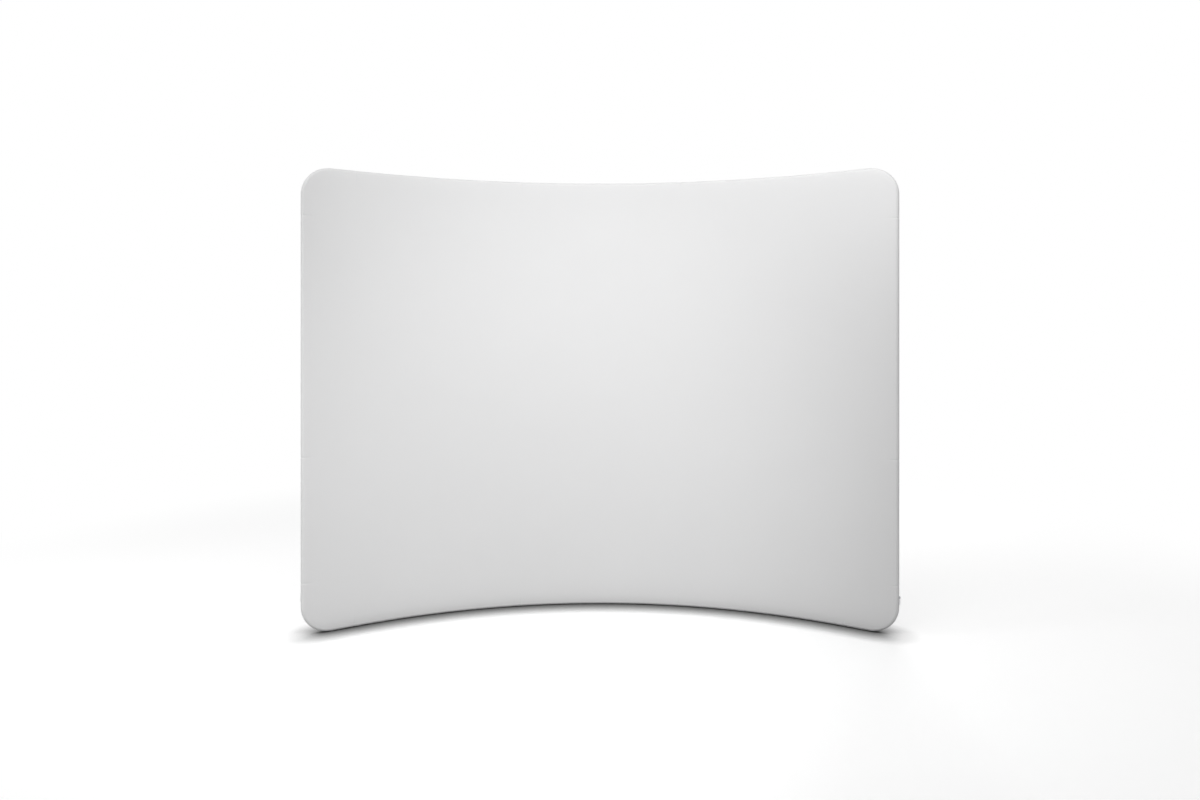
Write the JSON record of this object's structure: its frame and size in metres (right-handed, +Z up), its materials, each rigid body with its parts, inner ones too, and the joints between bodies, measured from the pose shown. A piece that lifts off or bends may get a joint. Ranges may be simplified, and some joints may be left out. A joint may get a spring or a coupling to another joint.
{
  "type": "curved tension fabric display backwall",
  "caption": "Free-standing curved display backwall: a white stretch fabric cover zipped over a rounded loop of plugged tubes with a centre pole.",
  "frame": {"origin": "on the floor, midway across the width and the depth of the wall", "axes": "+X to the right of a visitor who faces the hollow side, +Y away from that visitor, +Z up"},
  "size_m": [2.9117, 0.4753, 2.283],
  "materials": {
    "tube": "satin",
    "spigot": "matte",
    "button": "satin",
    "spring": "satin",
    "fabric": "matte",
    "seam": "matte",
    "zip_tape": "matte",
    "zip_metal": "satin"
  },
  "bodies": {
    "backwall": {"rail_bottom_left": "tube", "button_spring_bottom_2": "spring", "rail_bottom_centre": "tube", "button_spring_bottom_3": "spring", "rail_bottom_right": "tube", "button_spring_bottom_4": "spring", "corner_bottom_right": "tube", "button_spring_right_1": "spring", "side_right_lower": "tube", "button_spring_right_2": "spring", "side_right_upper": "tube", "button_spring_right_3": "spring", "corner_top_right": "tube", "button_spring_top_4": "spring", "rail_top_right": "tube", "button_spring_top_3": "spring", "rail_top_centre": "tube", "button_spring_top_2": "spring", "rail_top_left": "tube", "button_spring_top_1": "spring", "corner_top_left": "tube", "button_spring_left_3": "spring", "side_left_upper": "tube", "button_spring_left_2": "spring", "side_left_lower": "tube", "button_spring_left_1": "spring", "corner_bottom_left": "tube", "button_spring_bottom_1": "spring", "pole_spigot_bottom": "spigot", "pole_spigot_top": "spigot", "pole_lower": "tube", "pole_upper": "tube", "button_spring_pole_1": "spring", "button_spring_pole_2": "spring", "button_spring_pole_3": "spring", "fabric_front": "fabric", "fabric_back": "fabric", "fabric_seam": "seam", "zip_stringer_front": "zip_tape", "zip_stringer_back": "zip_tape"},
    "snap_button_bottom_2": {"snap_button_bottom_2": "button"},
    "snap_button_bottom_3": {"snap_button_bottom_3": "button"},
    "snap_button_bottom_4": {"snap_button_bottom_4": "button"},
    "snap_button_right_1": {"snap_button_right_1": "button"},
    "snap_button_right_2": {"snap_button_right_2": "button"},
    "snap_button_right_3": {"snap_button_right_3": "button"},
    "snap_button_top_4": {"snap_button_top_4": "button"},
    "snap_button_top_3": {"snap_button_top_3": "button"},
    "snap_button_top_2": {"snap_button_top_2": "button"},
    "snap_button_top_1": {"snap_button_top_1": "button"},
    "snap_button_left_3": {"snap_button_left_3": "button"},
    "snap_button_left_2": {"snap_button_left_2": "button"},
    "snap_button_left_1": {"snap_button_left_1": "button"},
    "snap_button_bottom_1": {"snap_button_bottom_1": "button"},
    "snap_button_pole_1": {"snap_button_pole_1": "button"},
    "snap_button_pole_2": {"snap_button_pole_2": "button"},
    "snap_button_pole_3": {"snap_button_pole_3": "button"},
    "zip_slider": {"zip_slider": "zip_metal"},
    "zip_pull": {"zip_pull": "zip_metal"}
  },
  "joints": [
    {"name": "press_button_bottom_2", "type": "slide", "parent": "backwall", "child": "snap_button_bottom_2", "axis": [0, 0, 1], "range_m": [-0.0055, 0], "stiffness_N_per_m": 2000, "springref_m": 0.002, "deforming": ["button_spring_bottom_2"]},
    {"name": "press_button_bottom_3", "type": "slide", "parent": "backwall", "child": "snap_button_bottom_3", "axis": [0, 0, 1], "range_m": [-0.0055, 0], "stiffness_N_per_m": 2000, "springref_m": 0.002, "deforming": ["button_spring_bottom_3"]},
    {"name": "press_button_bottom_4", "type": "slide", "parent": "backwall", "child": "snap_button_bottom_4", "axis": [0, 0, 1], "range_m": [-0.0055, 0], "stiffness_N_per_m": 2000, "springref_m": 0.002, "deforming": ["button_spring_bottom_4"]},
    {"name": "press_button_right_1", "type": "slide", "parent": "backwall", "child": "snap_button_right_1", "axis": [-0.8698, 0.4934, 0], "range_m": [-0.0055, 0], "stiffness_N_per_m": 2000, "springref_m": 0.002, "deforming": ["button_spring_right_1"]},
    {"name": "press_button_right_2", "type": "slide", "parent": "backwall", "child": "snap_button_right_2", "axis": [-0.8698, 0.4934, 0], "range_m": [-0.0055, 0], "stiffness_N_per_m": 2000, "springref_m": 0.002, "deforming": ["button_spring_right_2"]},
    {"name": "press_button_right_3", "type": "slide", "parent": "backwall", "child": "snap_button_right_3", "axis": [-0.8698, 0.4934, 0], "range_m": [-0.0055, 0], "stiffness_N_per_m": 2000, "springref_m": 0.002, "deforming": ["button_spring_right_3"]},
    {"name": "press_button_top_4", "type": "slide", "parent": "backwall", "child": "snap_button_top_4", "axis": [0, 0, -1], "range_m": [-0.0055, 0], "stiffness_N_per_m": 2000, "springref_m": 0.002, "deforming": ["button_spring_top_4"]},
    {"name": "press_button_top_3", "type": "slide", "parent": "backwall", "child": "snap_button_top_3", "axis": [0, 0, -1], "range_m": [-0.0055, 0], "stiffness_N_per_m": 2000, "springref_m": 0.002, "deforming": ["button_spring_top_3"]},
    {"name": "press_button_top_2", "type": "slide", "parent": "backwall", "child": "snap_button_top_2", "axis": [0, 0, -1], "range_m": [-0.0055, 0], "stiffness_N_per_m": 2000, "springref_m": 0.002, "deforming": ["button_spring_top_2"]},
    {"name": "press_button_top_1", "type": "slide", "parent": "backwall", "child": "snap_button_top_1", "axis": [0, 0, -1], "range_m": [-0.0055, 0], "stiffness_N_per_m": 2000, "springref_m": 0.002, "deforming": ["button_spring_top_1"]},
    {"name": "press_button_left_3", "type": "slide", "parent": "backwall", "child": "snap_button_left_3", "axis": [0.8698, 0.4934, 0], "range_m": [-0.0055, 0], "stiffness_N_per_m": 2000, "springref_m": 0.002, "deforming": ["button_spring_left_3"]},
    {"name": "press_button_left_2", "type": "slide", "parent": "backwall", "child": "snap_button_left_2", "axis": [0.8698, 0.4934, 0], "range_m": [-0.0055, 0], "stiffness_N_per_m": 2000, "springref_m": 0.002, "deforming": ["button_spring_left_2"]},
    {"name": "press_button_left_1", "type": "slide", "parent": "backwall", "child": "snap_button_left_1", "axis": [0.8698, 0.4934, 0], "range_m": [-0.0055, 0], "stiffness_N_per_m": 2000, "springref_m": 0.002, "deforming": ["button_spring_left_1"]},
    {"name": "press_button_bottom_1", "type": "slide", "parent": "backwall", "child": "snap_button_bottom_1", "axis": [0, 0, 1], "range_m": [-0.0055, 0], "stiffness_N_per_m": 2000, "springref_m": 0.002, "deforming": ["button_spring_bottom_1"]},
    {"name": "press_button_pole_1", "type": "slide", "parent": "backwall", "child": "snap_button_pole_1", "axis": [1, 0, 0], "range_m": [-0.0055, 0], "stiffness_N_per_m": 2000, "springref_m": 0.002, "deforming": ["button_spring_pole_1"]},
    {"name": "press_button_pole_2", "type": "slide", "parent": "backwall", "child": "snap_button_pole_2", "axis": [1, 0, 0], "range_m": [-0.0055, 0], "stiffness_N_per_m": 2000, "springref_m": 0.002, "deforming": ["button_spring_pole_2"]},
    {"name": "press_button_pole_3", "type": "slide", "parent": "backwall", "child": "snap_button_pole_3", "axis": [1, 0, 0], "range_m": [-0.0055, 0], "stiffness_N_per_m": 2000, "springref_m": 0.002, "deforming": ["button_spring_pole_3"]},
    {"name": "zip_slide", "type": "slide", "parent": "backwall", "child": "zip_slider", "axis": [0, 0, -1], "range_m": [0, 0.04]},
    {"name": "zip_pull_swing", "type": "hinge", "parent": "zip_slider", "child": "zip_pull", "pos_m": [1.45457, -0.23067, 0.18775], "axis": [-0.4934, -0.8698, 0], "range_deg": [0, 170]}
  ]
}
